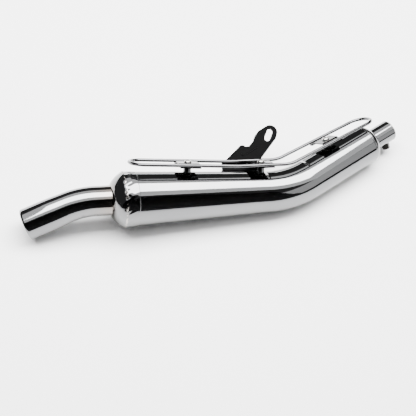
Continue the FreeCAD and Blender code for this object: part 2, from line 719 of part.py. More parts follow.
def build_guard_wire():
    """Make the heat guard, one closed loop of round wire that follows the casing's knee."""
    half = float(D["guard_half"])
    half_rear = float(D["guard_half_rear"])
    rail_radii = [half * 0.97, 90.0, 46.0, half_rear * 0.97]
    path = rounded_path(guard_points(), rail_radii + rail_radii[::-1])
    lengths = []
    for edge in path.OrderedEdges:
        start = edge.valueAt(edge.FirstParameter)
        direction = edge.tangentAt(edge.FirstParameter)
        section = Part.Wire(Part.Circle(start, direction, float(D["wire_radius"])).toShape())
        lengths.append(Part.Wire(edge).makePipeShell([section], True, True))
    wire = DOC.addObject("Part::Feature", "GuardWire")
    wire.Shape = lengths[0].multiFuse(lengths[1:])
    register(wire, "guard_wire", FRONT)


def front_rail(station):
    """Return the rails' height at a distance forward of the corner, and their slope in degrees."""
    if float(station) <= float(D["guard_bend"]):
        return float(D["guard_lift"]), 0.0
    run = float(D["guard_front"]) - float(D["guard_bend"])
    rise = float(D["guard_lift_front"]) - float(D["guard_lift"])
    lift = float(D["guard_lift"]) + rise * (float(station) - float(D["guard_bend"])) / run
    return lift, math.degrees(math.atan2(rise, run))


def rear_rail(station):
    """Return the rails' height at a distance behind the corner, and their slope in degrees."""
    rise = float(D["guard_lift_rear"]) - float(D["guard_lift"])
    lift = float(D["guard_lift"]) + rise * float(station) / float(D["guard_rear"])
    return lift, math.degrees(math.atan2(rise, float(D["guard_rear"])))


def clip_outline():
    """Return the section of a guard clip: a raised seat, two slopes and a cradle under each rail."""
    sheet = D["clip_sheet"]
    seat = D["clip_seat"]
    low = -D["wire_radius"] - D["rail_gap"]
    edge = D["guard_half"] + D["wire_radius"] * 0.6
    shoulder = D["head_radius"] + 2.8
    foot = D["guard_half"] - D["wire_radius"] * 2.2
    ease = sheet * 0.4
    return corners(
        (-edge, low - sheet), (-foot, low - sheet), (-shoulder, seat - sheet), (shoulder, seat - sheet),
        (foot, low - sheet), (edge, low - sheet), (edge, low), (foot - ease, low), (shoulder - ease, seat),
        (-shoulder + ease, seat), (-foot + ease, low), (-edge, low))


def screw_outline(under):
    """Return the section of a round-headed screw with a recess in its crown, along its axis."""
    tip = under - D["screw_length"]
    floor = under + D["head_height"] * 0.4
    return [
        Corner(tip, NIL), Corner(floor, NIL), Corner(floor, D["socket_key"]),
        Corner(under + D["head_height"], D["socket_key"], D["head_radius"] * 1.1, False),
        Corner(under + D["head_height"] * 0.15, D["head_radius"]),
        Corner(under, D["head_radius"]), Corner(under, D["screw_radius"]), Corner(tip, D["screw_radius"]),
    ]


def build_post(name, frame, top, bottom, cone, cone_place):
    """Make a guard post: a tapped stand-off whose foot is shaped to the casing it is welded to."""
    rod = DOC.addObject("Part::Cylinder", name + "_rod")
    rod.setExpression("Radius", D["post_radius"].text)
    rod.Height = top - bottom
    rod.Placement = shift(z=bottom)
    tap = DOC.addObject("Part::Cylinder", name + "_tap")
    tap.setExpression("Radius", (D["screw_radius"] + 0.05).text)
    tap.setExpression("Height", D["tap_depth"].text)
    tap.Placement = shift(z=top - float(D["tap_depth"]))
    casing = DOC.addObject("Part::Cone", name + "_casing")
    casing.Radius1, casing.Radius2, casing.Height = cone
    casing.Placement = cone_place
    tools = DOC.addObject("Part::MultiFuse", name + "_tools")
    tools.Shapes = [tap, casing]
    post = DOC.addObject("Part::Cut", name + "_cut")
    post.Base = rod
    post.Tool = tools
    register(post, name, frame)


def build_mounting(name, rail_frame, station, rail, end_radius, end_station):
    """Make one mounting of the guard: clip, screw, insulating bush and the post under them."""
    lift, slope = rail
    frame = rail_frame * shift(x=station, z=lift) * turn(Y_AXIS, -slope)
    clip = padded("guard_clip_" + name, clip_outline(), "YZ_Plane", D["clip_length"], frame, finish=False)
    hole = new_sketch(clip, "clip_hole_" + name, "XY_Plane")
    draw_circle(hole, NIL, NIL, D["screw_radius"] + 0.3)
    pocket_through(clip, hole, "clip_drill_" + name)
    register(clip, "guard_clip_" + name, frame)

    upright = frame * turn(Y_AXIS, -90)
    turned("guard_screw_" + name, screw_outline(D["clip_seat"]), upright)
    under = D["clip_seat"] - D["clip_sheet"]
    turned("guard_bush_" + name,
           tube_outline(under - D["bush_height"], under, D["bush_radius"], D["bush_radius"],
                        D["bush_radius"] - D["screw_radius"] - 0.3), upright)
    near = D["knee_radius"]
    cone = (float(near), float(end_radius), float(end_station - D["knee_reach"]))
    cone_place = frame.inverse() * rail_frame * shift(x=D["knee_reach"]) * turn(Y_AXIS, 90)
    top = float(under - D["bush_height"])
    build_post("guard_post_" + name, frame, top, float(near) - 6.0 - lift, cone, cone_place)


def build_guard():
    """Make the wire loop and its three mountings."""
    build_guard_wire()
    for name in ("front", "middle"):
        station = D["clip_" + name]
        build_mounting(name, GUARD_FRONT, station, front_rail(station), D["front_radius"], D["front_seam"])
    station = D["clip_rear"]
    build_mounting("rear", GUARD_REAR, station, rear_rail(station), D["rear_radius"], D["rear_seam"])


# ---------------------------------------------------------------- frame bracket
def draw_slot(sketch, along, out, angle, centres, half):
    """Draw a round-ended slot about its centre, turned by an angle and bound to the spreadsheet."""
    base = sketch.GeometryCount
    heading = math.radians(float(angle))
    ends = []
    for sign in (1.0, -1.0):
        across = along + angle.cos() * centres * (sign / 2.0)
        up = out + angle.sin() * centres * (sign / 2.0)
        middle = Vector(float(across), float(up), 0)
        start = heading + (-0.5 if sign > 0 else 0.5) * math.pi
        circle = Part.Circle(middle, Z_AXIS, float(half))
        sketch.addGeometry(Part.ArcOfCircle(circle, start, start + math.pi))
        ends.append((middle, start, across, up))
    for index in (0, 1):
        middle, start, _, _ = ends[index]
        other, other_start, _, _ = ends[1 - index]
        leave = middle + Vector(math.cos(start + math.pi), math.sin(start + math.pi), 0) * float(half)
        enter = other + Vector(math.cos(other_start), math.sin(other_start), 0) * float(half)
        sketch.addGeometry(Part.LineSegment(leave, enter))
    for index in (0, 1):
        hold(sketch, "DistanceX", base + index, 3, ends[index][2])
        hold(sketch, "DistanceY", base + index, 3, ends[index][3])
        radius = sketch.addConstraint(Sketcher.Constraint("Radius", base + index, float(half)))
        sketch.setExpression(f"Constraints[{radius}]", half.text)
        sketch.addConstraint(Sketcher.Constraint("Tangent", base + index, 2, base + 2 + index, 1))
        sketch.addConstraint(Sketcher.Constraint("Tangent", base + 2 + index, 2, base + 1 - index, 1))


def foot_radius(station):
    """Return the bound outside radius of the bracket foot at a station."""
    text = (f"(Sizes.knee_radius + (Sizes.front_radius - Sizes.knee_radius) * ({station.text}"
            " - Sizes.knee_reach) / (Sizes.front_seam - Sizes.knee_reach) + Sizes.foot_sheet)")
    return Size(front_casing(station) + float(D["foot_sheet"]), text)


def build_bracket():
    """Make the pressed frame bracket with its slot, its foot on the casing and the welds between."""
    start = D["foot_start"]
    end = D["foot_end"]
    turned("bracket_foot", tube_outline(start, end, foot_radius(start), foot_radius(end), D["foot_sheet"]),
           BRACKET, wrap=D["foot_wrap"])
    outline = []
    for index, (_, _, arc) in enumerate(PLATE_OUTLINE, start=1):
        following = D[f"plate_arc_{index}"] if arc else None
        outline.append(Corner(D[f"plate_along_{index}"], D[f"plate_out_{index}"], following, True))
    inner = start + 1.5
    outer = end - 3.5
    outline.append(Corner(inner, foot_radius(inner)))
    outline.append(Corner(outer, foot_radius(outer)))
    plate = padded("bracket_plate", outline, "XZ_Plane", D["bracket_sheet"], BRACKET, finish=False)
    slot = new_sketch(plate, "bracket_slot", "XZ_Plane")
    draw_slot(slot, D["slot_along"], D["slot_out"], D["slot_turn"], D["slot_centres"], D["slot_half_width"])
    pocket_through(plate, slot, "bracket_slot_cut")
    rib = new_sketch(plate, "bracket_rib", "XZ_Plane", -(D["bracket_sheet"] / 2.0 + D["rib_height"]))
    draw_slot(rib, D["rib_along"], D["rib_out"], D["rib_turn"], D["rib_centres"], D["rib_half"])
    raised = plate.newObject("PartDesign::Pad", "bracket_rib_raised")
    raised.Profile = rib
    raised.setExpression("Length", (D["rib_height"] + 0.5).text)
    register(plate, "bracket_plate", BRACKET)

    slope = math.degrees(math.atan2(float(foot_radius(outer)) - float(foot_radius(inner)), float(outer - inner)))
    middle = (inner + outer) / 2.0
    frame = BRACKET * shift(x=middle, z=foot_radius(middle)) * turn(Y_AXIS, -slope)
    leg = D["fillet_leg"]
    side = D["bracket_sheet"] / 2.0
    for name, sign in (("bracket_weld_upper", 1.0), ("bracket_weld_lower", -1.0)):
        outline = corners((side * sign, NIL), ((side + leg) * sign, NIL), (side * sign, leg))
        outline[1].arc = leg * 1.4
        outline[1].left = sign < 0
        padded(name, outline, "YZ_Plane", (outer - inner) * 0.94, frame)


def finish():
    """Check every object and write one STEP file for each sub-part."""
    DOC.recompute()
    for item in DOC.Objects:
        if "Invalid" in item.State or "Error" in item.State:
            raise RuntimeError(f"{item.Label} did not build: {item.State}")
    os.makedirs("parts", exist_ok=True)
    for item in NODES:
        shape = item.Shape
        if shape.isNull() or not shape.isValid() or shape.Volume <= 0:
            raise RuntimeError(f"{item.Label} has no valid solid")
        shape.exportStep(f"parts/{item.Label}.step")
        print(f"{item.Label}: {len(shape.Solids)} solid, {shape.Volume:.0f} mm3")


build_casing()
build_inlet()
ring_bead("inlet_weld", nose_station + D["bead"], D["pipe_radius"], FRONT_FORWARD)
ring_bead("front_seam_weld", D["front_seam"], D["front_radius"], FRONT_FORWARD)
ring_bead("outlet_weld", D["rear_seam"] + D["rear_dome_depth"] + D["bead"], D["outlet_radius"], REAR)
build_inner_tubes()
build_baffles()
build_diffuser()
build_guard()
build_bracket()
finish()
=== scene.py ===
"""Finished look of a bent chrome exhaust muffler: polished casing, welds, wire guard and black bracket."""

import json
import logging
import math
from dataclasses import dataclass, field
from enum import Enum
from typing import Callable, Sequence

import bmesh
import bpy
import numpy as np
from mathutils import Matrix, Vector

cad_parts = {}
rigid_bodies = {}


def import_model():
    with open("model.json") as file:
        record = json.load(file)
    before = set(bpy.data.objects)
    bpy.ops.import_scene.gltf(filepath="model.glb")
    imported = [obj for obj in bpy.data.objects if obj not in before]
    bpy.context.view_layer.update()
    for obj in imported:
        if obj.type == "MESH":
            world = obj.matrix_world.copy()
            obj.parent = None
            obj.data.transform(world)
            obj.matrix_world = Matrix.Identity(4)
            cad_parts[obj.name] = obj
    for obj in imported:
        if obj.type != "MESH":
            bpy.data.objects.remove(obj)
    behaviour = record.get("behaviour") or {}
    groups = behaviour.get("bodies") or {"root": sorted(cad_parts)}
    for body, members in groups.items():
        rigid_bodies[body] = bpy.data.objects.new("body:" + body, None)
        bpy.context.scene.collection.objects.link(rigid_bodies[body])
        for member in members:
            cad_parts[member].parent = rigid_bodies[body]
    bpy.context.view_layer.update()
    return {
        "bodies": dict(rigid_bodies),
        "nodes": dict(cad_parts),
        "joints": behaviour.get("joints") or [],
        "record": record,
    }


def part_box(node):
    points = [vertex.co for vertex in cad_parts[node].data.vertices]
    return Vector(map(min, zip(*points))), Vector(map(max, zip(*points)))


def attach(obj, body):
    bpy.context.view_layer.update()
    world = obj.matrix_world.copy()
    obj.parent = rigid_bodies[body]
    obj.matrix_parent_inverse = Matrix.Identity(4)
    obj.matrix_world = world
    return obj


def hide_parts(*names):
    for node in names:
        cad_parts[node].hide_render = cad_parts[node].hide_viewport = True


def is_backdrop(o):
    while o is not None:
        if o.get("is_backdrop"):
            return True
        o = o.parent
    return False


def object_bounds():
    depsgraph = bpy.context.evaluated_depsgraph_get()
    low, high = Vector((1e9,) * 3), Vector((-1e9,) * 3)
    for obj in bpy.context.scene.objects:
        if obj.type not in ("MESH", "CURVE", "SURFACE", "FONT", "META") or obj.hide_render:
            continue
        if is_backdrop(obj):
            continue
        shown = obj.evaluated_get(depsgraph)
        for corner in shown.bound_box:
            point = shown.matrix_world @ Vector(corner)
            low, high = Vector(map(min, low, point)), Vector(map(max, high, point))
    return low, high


log = logging.getLogger("muffler")
MM = 0.001
Array = np.ndarray


class Place(Enum):
    """CAD body that a piece rides on."""

    CASING = "casing"
    DIFFUSER = "diffuser"
    BOLT = "bolt"


# ------------------------------------------------------------------ finishes
@dataclass(frozen=True)
class Finish:
    """A procedural material in the object's own coordinates.

    The roughness is mixed between two values by a fine noise, the colour between two tones by a
    coarser one, and a third noise raises a bump.  Where streak is above 1, the colour's noise is
    drawn out along X.  An optional heat tone follows the mesh attribute "tint", which holds how
    strongly heat has coloured each point.
    """

    name: str
    tone: tuple[float, float, float]
    tone_worn: tuple[float, float, float]
    metallic: float = 1.0
    rough: tuple[float, float] = (0.04, 0.08)
    mottle_scale: float = 60.0
    grain_scale: float = 900.0
    bump_scale: float = 240.0
    bump_depth: float = 0.00002
    coat: float = 0.0
    shine: float = 0.5
    streak: float = 1.0
    heat: tuple[float, float, float] | None = None

    def build(self) -> bpy.types.Material:
        """Make the Blender material.

        Returns:
            The finished node material.
        """
        material = bpy.data.materials.new(self.name)
        material.use_nodes = True
        tree = material.node_tree
        shader = tree.nodes["Principled BSDF"]
        shader.inputs["Metallic"].default_value = self.metallic
        shader.inputs["Specular IOR Level"].default_value = self.shine
        shader.inputs["Coat Weight"].default_value = self.coat
        shader.inputs["Coat Roughness"].default_value = self.rough[0]
        coords = tree.nodes.new("ShaderNodeTexCoord").outputs["Object"]
        stretch = tree.nodes.new("ShaderNodeMapping")
        stretch.inputs["Scale"].default_value = (1.0, self.streak, self.streak)
        tree.links.new(coords, stretch.inputs["Vector"])
        worn = self._noise(tree, stretch.outputs["Vector"], self.mottle_scale, 3.0)
        colour = self._mix(tree, worn, self.tone, self.tone_worn)
        if self.heat is not None:
            heat = tree.nodes.new("ShaderNodeAttribute")
            heat.attribute_name = "tint"
            colour = self._mix(tree, heat.outputs["Fac"], colour, self.heat)
        tree.links.new(colour, shader.inputs["Base Color"])
        spread = tree.nodes.new("ShaderNodeMapRange")
        spread.inputs["To Min"].default_value = self.rough[0]
        spread.inputs["To Max"].default_value = self.rough[1]
        tree.links.new(self._noise(tree, coords, self.grain_scale, 5.0), spread.inputs["Value"])
        tree.links.new(spread.outputs["Result"], shader.inputs["Roughness"])
        bump = tree.nodes.new("ShaderNodeBump")
        bump.inputs["Distance"].default_value = self.bump_depth
        tree.links.new(self._noise(tree, coords, self.bump_scale, 4.0), bump.inputs["Height"])
        tree.links.new(bump.outputs["Normal"], shader.inputs["Normal"])
        return material

    @staticmethod
    def _noise(tree: bpy.types.NodeTree, coords: bpy.types.NodeSocket, scale: float,
               detail: float) -> bpy.types.NodeSocket:
        """Add a noise texture and return its value.

        Args:
            tree: The material's node tree.
            coords: The socket of the texture coordinates.
            scale: The noise's scale.
            detail: Its number of octaves.

        Returns:
            The socket of the noise's value.
        """
        noise = tree.nodes.new("ShaderNodeTexNoise")
        noise.inputs["Scale"].default_value = scale
        noise.inputs["Detail"].default_value = detail
        tree.links.new(coords, noise.inputs["Vector"])
        return noise.outputs["Fac"]

    @staticmethod
    def _mix(tree: bpy.types.NodeTree, factor: bpy.types.NodeSocket,
             first: "tuple | bpy.types.NodeSocket",
             second: "tuple | bpy.types.NodeSocket") -> bpy.types.NodeSocket:
        """Mix two colours, each a plain tone or another node's output.

        Args:
            tree: The material's node tree.
            factor: The socket that sets the second's share.
            first: A plain tone, or a colour socket.
            second: A plain tone, or a colour socket.

        Returns:
            The socket of the mixed colour.
        """
        mix = tree.nodes.new("ShaderNodeMix")
        mix.data_type = "RGBA"
        tree.links.new(factor, mix.inputs["Factor"])
        for tone, socket in ((first, mix.inputs[6]), (second, mix.inputs[7])):
            if isinstance(tone, tuple):
                socket.default_value = (*tone, 1.0)
            else:
                tree.links.new(tone, socket)
        return mix.outputs[2]


CHROME = Finish("chrome", (0.19, 0.192, 0.195), (0.14, 0.142, 0.145), rough=(0.03, 0.08), mottle_scale=9.0,
                bump_scale=38.0, bump_depth=0.00010, heat=(0.27, 0.19, 0.12), streak=7.0)
WELD = Finish("chromed_weld", (0.42, 0.415, 0.41), (0.28, 0.275, 0.27), rough=(0.06, 0.18),
              mottle_scale=420.0, bump_scale=700.0, bump_depth=0.0003, heat=(0.36, 0.24, 0.14))
# Painted shade: this chromed wire gets a darker tone than the casing's chrome so that its reflections come
# out darker.
SHADED_WIRE = Finish("chromed_wire", (0.12, 0.12, 0.123), (0.08, 0.08, 0.083), rough=(0.05, 0.10),
              bump_depth=0.00003)
# Painted shade: these chromed clips get a tone far darker than the casing's chrome so that their reflections
# come out dim.
SHADED_CLIP = Finish("chromed_clip", (0.016, 0.016, 0.0165), (0.010, 0.010, 0.0105), rough=(0.14, 0.26),
              bump_depth=0.00006)
SCREW = Finish("plated_screw", (0.42, 0.415, 0.40), (0.30, 0.29, 0.28), rough=(0.14, 0.26))
BLACK = Finish("black_enamel", (0.0010, 0.0010, 0.0011), (0.0022, 0.0022, 0.0023), metallic=0.0,
               rough=(0.30, 0.44), bump_scale=600.0, bump_depth=0.00010, shine=0.008)
DARK = Finish("blackened_steel", (0.030, 0.028, 0.027), (0.055, 0.050, 0.046), rough=(0.30, 0.48))
STEEL = Finish("bare_steel", (0.38, 0.37, 0.36), (0.26, 0.25, 0.24), rough=(0.30, 0.46),
               bump_depth=0.00008)
SOOT = Finish("heat_tinted_steel", (0.30, 0.27, 0.24), (0.15, 0.13, 0.12), rough=(0.34, 0.55),
              mottle_scale=160.0, bump_depth=0.00010)
FIBRE = Finish("glass_fibre", (0.78, 0.75, 0.62), (0.58, 0.54, 0.42), metallic=0.0, rough=(0.8, 0.95),
               mottle_scale=500.0, bump_scale=1200.0, bump_depth=0.0006)
BUSH = Finish("pressed_fibre", (0.05, 0.048, 0.045), (0.09, 0.085, 0.08), metallic=0.0,
              rough=(0.55, 0.75), bump_depth=0.00010)
FLOOR = Finish("floor_paper", (0.86, 0.86, 0.86), (0.85, 0.85, 0.85), metallic=0.0, rough=(0.85, 0.9),
               mottle_scale=1.0, bump_depth=0.0)
SHADE = Finish("dark_cloth", (0.012, 0.012, 0.013), (0.016, 0.016, 0.017), metallic=0.0,
               rough=(0.9, 0.95), mottle_scale=2.0, bump_depth=0.0)


class Finishes:
    """Builds each finish once."""

    def __init__(self) -> None:
        """Start with no material made."""
        self._made: dict[str, bpy.types.Material] = {}

    def put(self, obj: bpy.types.Object, finish: Finish) -> None:
        """Give an object one finish in place of whatever it has.

        Args:
            obj: The piece.
            finish: The finish that it gets.
        """
        if finish.name not in self._made:
            self._made[finish.name] = finish.build()
        obj.data.materials.clear()
        obj.data.materials.append(self._made[finish.name])


# ------------------------------------------------------------------ geometry
def shift(x: float = 0.0, y: float = 0.0, z: float = 0.0) -> Array:
    """Return a 4 x 4 matrix that moves without turning.

    Args:
        x: The move along X, in metres.
        y: The move along Y.
        z: The move along Z.

    Returns:
        The matrix.
    """
    matrix = np.eye(4)
    matrix[:3, 3] = (x, y, z)
    return matrix


def spin(axis: str, degrees: float) -> Array:
    """Return a 4 x 4 matrix that turns about one axis through the origin."""
    return np.array(Matrix.Rotation(math.radians(degrees), 4, axis))


def put_in(frame: Array, points: Array) -> Array:
    """Return local points as points of the row frame."""
    return points @ frame[:3, :3].T + frame[:3, 3]


def vertices(node: str, nodes: dict[str, bpy.types.Object]) -> Array:
    """Return a CAD node's vertices.

    Args:
        node: The node's name.
        nodes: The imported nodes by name.

    Returns:
        Its points in the row frame, one to a row.
    """
    mesh = nodes[node].data
    flat = np.zeros(len(mesh.vertices) * 3)
    mesh.vertices.foreach_get("co", flat)
    return flat.reshape(-1, 3)


def axis_of(points: Array) -> tuple[Array, Array]:
    """Return the mean point and the longest principal direction of a turned piece's vertices.

    Args:
        points: The piece's points, one to a row.

    Returns:
        The mean point and a unit direction.
    """
    centre = points.mean(0)
    _, _, directions = np.linalg.svd(points - centre, full_matrices=False)
    return centre, directions[0]


@dataclass
class Frames:
    """Local frames on the casing's two centrelines, found from the CAD shells.

    The two shells are turned pieces, so each one's principal direction is its centreline.  The
    corner is the midpoint of the shortest line between the two centrelines, and Z is the normal
    of the plane that holds them.
    """

    front: Array
    rear: Array
    forward: Array
    bend: float

    @classmethod
    def measure(cls, nodes: dict[str, bpy.types.Object]) -> "Frames":
        """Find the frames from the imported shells.

        Args:
            nodes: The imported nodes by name.

        Returns:
            The frames, with the bend between them in degrees.
        """
        centre_a, a = axis_of(vertices("front_shell", nodes))
        centre_b, b = axis_of(vertices("rear_shell", nodes))
        a = a * np.sign(a[0])
        b = b * np.sign(b[0])
        normal = np.cross(a, b)
        normal /= np.linalg.norm(normal)
        system = np.stack([a, -b, normal], axis=1)
        along_a, along_b, _ = np.linalg.solve(system, centre_b - centre_a)
        corner = (centre_a + along_a * a + centre_b + along_b * b) / 2
        front = cls._frame(corner, a, normal)
        rear = cls._frame(corner, b, normal)
        return cls(front, rear, front @ spin("Z", 180), math.degrees(math.acos(float(a @ b))))

    @staticmethod
    def _frame(origin: Array, x: Array, z: Array) -> Array:
        """Return the matrix of a frame with the given X and Z directions.

        Args:
            origin: The frame's origin.
            x: Its X direction, of unit length.
            z: Its Z direction, of unit length and square to X.

        Returns:
            The 4 x 4 matrix.
        """
        matrix = np.eye(4)
        matrix[:3, :3] = np.stack([x, np.cross(z, x), z], axis=1)
        matrix[:3, 3] = origin
        return matrix


@dataclass(frozen=True)
class Reach:
    """Axial range and end radii of a turned CAD node in one of the frames."""

    start: float
    end: float
    start_radius: float
    end_radius: float

    @classmethod
    def measure(cls, node: str, nodes: dict[str, bpy.types.Object], frame: Array) -> "Reach":
        """Measure a node: its ends along the frame's X, and its largest radius at each end.

        Args:
            node: The node's name.
            nodes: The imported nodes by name.
            frame: The frame to measure it in.

        Returns:
            Its ends and end radii, in metres.
        """
        local = put_in(np.linalg.inv(frame), vertices(node, nodes))
        radius = np.hypot(local[:, 1], local[:, 2])
        start, end = local[:, 0].min(), local[:, 0].max()
        edge = 0.3 * MM
        at_start, at_end = local[:, 0] < start + edge, local[:, 0] > end - edge
        return cls(start, end, radius[at_start].max(), radius[at_end].max())


def grid_object(name: str, grid: Array, wrap_rows: bool, wrap_columns: bool) -> bpy.types.Object:
    """Make a smooth mesh from a rows x columns x 3 grid of points.

    Args:
        name: The piece's name.
        grid: The points, in the row frame.
        wrap_rows: Whether the last row joins the first.
        wrap_columns: Whether the last column joins the first.

    Returns:
        A mesh object linked to the scene.
    """
    rows, columns, _ = grid.shape
    row = np.arange(rows if wrap_rows else rows - 1)
    column = np.arange(columns if wrap_columns else columns - 1)
    r, c = (part.ravel() for part in np.meshgrid(row, column, indexing="ij"))
    r_next, c_next = (r + 1) % rows, (c + 1) % columns
    faces = np.stack([r * columns + c, r * columns + c_next,
                      r_next * columns + c_next, r_next * columns + c], 1)
    mesh = bpy.data.meshes.new(name)
    mesh.from_pydata(grid.reshape(-1, 3).tolist(), [], faces.tolist())
    mesh.polygons.foreach_set("use_smooth", np.ones(len(mesh.polygons), bool))
    obj = bpy.data.objects.new(name, mesh)
    bpy.context.scene.collection.objects.link(obj)
    face_outwards(obj)
    return obj


def face_outwards(obj: bpy.types.Object) -> None:
    """Turn a closed mesh's faces so that it encloses a positive volume.

    Args:
        obj: The closed mesh object, changed in place.
    """
    work = bmesh.new()
    work.from_mesh(obj.data)
    bmesh.ops.recalc_face_normals(work, faces=work.faces)
    if work.calc_volume(signed=True) < 0:
        bmesh.ops.reverse_faces(work, faces=work.faces)
    work.to_mesh(obj.data)
    work.free()


def set_tint(obj: bpy.types.Object, values: Array) -> None:
    """Store a value from 0 to 1 for every vertex as the attribute that heat colours follow."""
    attribute = obj.data.attributes.new("tint", "FLOAT", "POINT")
    attribute.data.foreach_set("value", values.astype(np.float32))


def lathe(name: str, section: Array, frame: Array, turns: int = 128,
          ripple: Callable[[Array, Array], Array] | None = None) -> bpy.types.Object:
    """Turn a closed section about a frame's X axis.

    A point at axial a and radius r goes to (a, r cos t, r sin t) at each of evenly spaced angles t.
    A ripple function adds to the radius from the axial distance and the angle.

    Args:
        name: The new object's name.
        section: Points of the closed section, as axial and radius.
        frame: The frame whose X axis it turns about.
        turns: The number of angles.
        ripple: What to add to the radius, if anything.

    Returns:
        The turned object.
    """
    angle = np.linspace(0, 2 * np.pi, turns, endpoint=False)
    axial, turn = np.meshgrid(section[:, 0], angle, indexing="ij")
    radius = np.repeat(section[:, 1:2], turns, axis=1)
    if ripple is not None:
        radius = radius + ripple(axial, turn)
    grid = np.stack([axial, radius * np.cos(turn), radius * np.sin(turn)], axis=2)
    return grid_object(name, put_in(frame, grid.reshape(-1, 3)).reshape(grid.shape), True, True)


def rounded(start: Array, end: Array, count: int = 6) -> Array:
    """Return points on a half circle that bulges from one point to another, to the right of travel.

    Args:
        start: The point to leave from.
        end: The point to arrive at.
        count: How finely the half circle is cut.

    Returns:
        The points, one to a row.
    """
    middle, half = (start + end) / 2, (end - start) / 2
    side = np.array([half[1], -half[0]])
    t = np.linspace(0, np.pi, count)[1:-1, None]
    return middle - half * np.cos(t) + side * np.sin(t)


def skin_section(outer: Array, wall: float) -> Array:
    """Return the closed section of a wall whose outer line is given and whose rims are round.

    The inner line lies one wall thickness inside the outer one, square to it.

    Args:
        outer: The outer line's points.
        wall: The wall's thickness.

    Returns:
        The closed section's points.
    """
    slope = np.gradient(outer, axis=0)
    slope /= np.linalg.norm(slope, axis=1, keepdims=True)
    inner = (outer + np.stack([slope[:, 1], -slope[:, 0]], 1) * wall)[::-1]
    return np.vstack([outer, rounded(outer[-1], inner[0]), inner, rounded(inner[-1], outer[0])])


def swept(name: str, path: Array, radius: Array, up: Array, turns: int, closed: bool,
          wall: Array | None = None) -> bpy.types.Object:
    """Sweep circles along a path; an open path becomes a tube with a wall.

    At each station the tangent is the path's own gradient, the side is the cross product of the
    given up direction and the tangent, and the circle lies in the plane of the side and its normal.

    Args:
        name: The new object's name.
        path: The stations' points, one to a row.
        radius: The radius at each station.
        up: A direction that the path never takes.
        turns: The number of points round each circle.
        closed: Whether the path runs back into its start.
        wall: The wall's thickness on an open path.

    Returns:
        The swept object.
    """
    tangent = np.gradient(path, axis=0)
    if closed:
        tangent = np.roll(path, -1, axis=0) - np.roll(path, 1, axis=0)
    tangent /= np.linalg.norm(tangent, axis=1, keepdims=True)
    side = np.cross(up, tangent)
    side /= np.linalg.norm(side, axis=1, keepdims=True)
    top = np.cross(tangent, side)
    if wall is not None:
        rim = 0.35 * wall[-1]
        order = np.concatenate([np.arange(len(path)), [len(path) - 1], np.arange(len(path))[::-1], [0]])
        lift = np.concatenate([np.zeros(len(path)), [0.5], np.ones(len(path)), [0.5]])
        push = np.zeros(len(order))
        push[len(path)] = rim
        push[-1] = -rim
        path, side, top = path[order] + tangent[order] * push[:, None], side[order], top[order]
        radius = radius[order] - wall[order] * lift
    angle = np.linspace(0, 2 * np.pi, turns, endpoint=False)
    ring = side[:, None, :] * np.cos(angle)[None, :, None] + top[:, None, :] * np.sin(angle)[None, :, None]
    grid = path[:, None, :] + ring * radius[:, None, None]
    return grid_object(name, grid, True, True)


def round_corners(corners: Array, radii: Sequence[float], closed: bool, step: float) -> Array:
    """Return a path through corners with a tangent arc at each, sampled at about one spacing.

    The arc at a corner starts and ends radius / tan(half angle) from it, and its centre is
    radius / sin(half angle) along the bisector.

    Args:
        corners: The corner points.
        radii: The arc's radius at each corner.
        closed: Whether the last corner joins the first.
        step: The spacing of the samples.

    Returns:
        The path's points, one to a row.
    """
    pieces = []
    count = len(corners)
    for index in range(count):
        if not closed and index in (0, count - 1):
            pieces.append(corners[index][None])
            continue
        back = corners[index - 1] - corners[index]
        ahead = corners[(index + 1) % count] - corners[index]
        back, ahead = back / np.linalg.norm(back), ahead / np.linalg.norm(ahead)
        half = math.acos(float(np.clip(back @ ahead, -1, 1))) / 2
        middle = (back + ahead) / np.linalg.norm(back + ahead)
        centre = corners[index] + middle * radii[index] / math.sin(half)
        across = (ahead - back) / np.linalg.norm(ahead - back)
        sweep = np.pi / 2 - half
        t = np.linspace(-sweep, sweep, max(4, int(2 * sweep * radii[index] / step)))[:, None]
        pieces.append(centre + radii[index] * (across * np.sin(t) - middle * np.cos(t)))
    points = np.vstack(pieces + ([pieces[0][:1]] if closed else []))
    gap = np.linalg.norm(np.diff(points, axis=0), axis=1)
    keep = np.concatenate([[True], gap > 1e-6])
    points = points[keep]
    along = np.concatenate([[0], np.cumsum(np.linalg.norm(np.diff(points, axis=0), axis=1))])
    spots = np.unique(np.concatenate([np.arange(0, along[-1], step * 4), along]))
    dense = np.stack([np.interp(spots, along, points[:, i]) for i in range(3)], 1)
    return dense[:-1] if closed else dense


# ------------------------------------------------------------------ sub-assemblies
@dataclass
class Maker:
    """What every sub-assembly needs: the CAD nodes, the frames and the finishes."""

    nodes: dict[str, bpy.types.Object]
    frames: Frames
    finishes: Finishes = field(default_factory=Finishes)

    def fit(self, obj: bpy.types.Object, finish: Finish, slot: str, replaced: Sequence[str],
            place: Place = Place.CASING) -> bpy.types.Object:
        """Finish a new piece and hang it on the CAD body that it belongs to.

        Args:
            obj: The new piece.
            finish: Its finish.
            slot: Its material slot in the record; not used.
            replaced: The CAD nodes that it stands for.
            place: The CAD body that it rides on.

        Returns:
            The same piece.
        """
        self.finishes.put(obj, finish)
        if "tint" not in obj.data.attributes:
            set_tint(obj, np.zeros(len(obj.data.vertices)))
        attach(obj, place.value)
        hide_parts(*replaced)
        log.info("made %s with %d faces", obj.name, len(obj.data.polygons))
        return obj


@dataclass(frozen=True)
class CapForm:
    """How one end cap is pressed: its shoulder, its skirt over the shell, its wrinkles and its heat tint."""

    power: float
    skirt: float
    lap: float
    wrinkle: float
    heat: float


FRONT_CAP = CapForm(power=1.32, skirt=17.0 * MM, lap=0.35 * MM, wrinkle=0.26 * MM, heat=0.30)
REAR_CAP = CapForm(power=1.75, skirt=1.4 * MM, lap=0.06 * MM, wrinkle=0.02 * MM, heat=0.15)


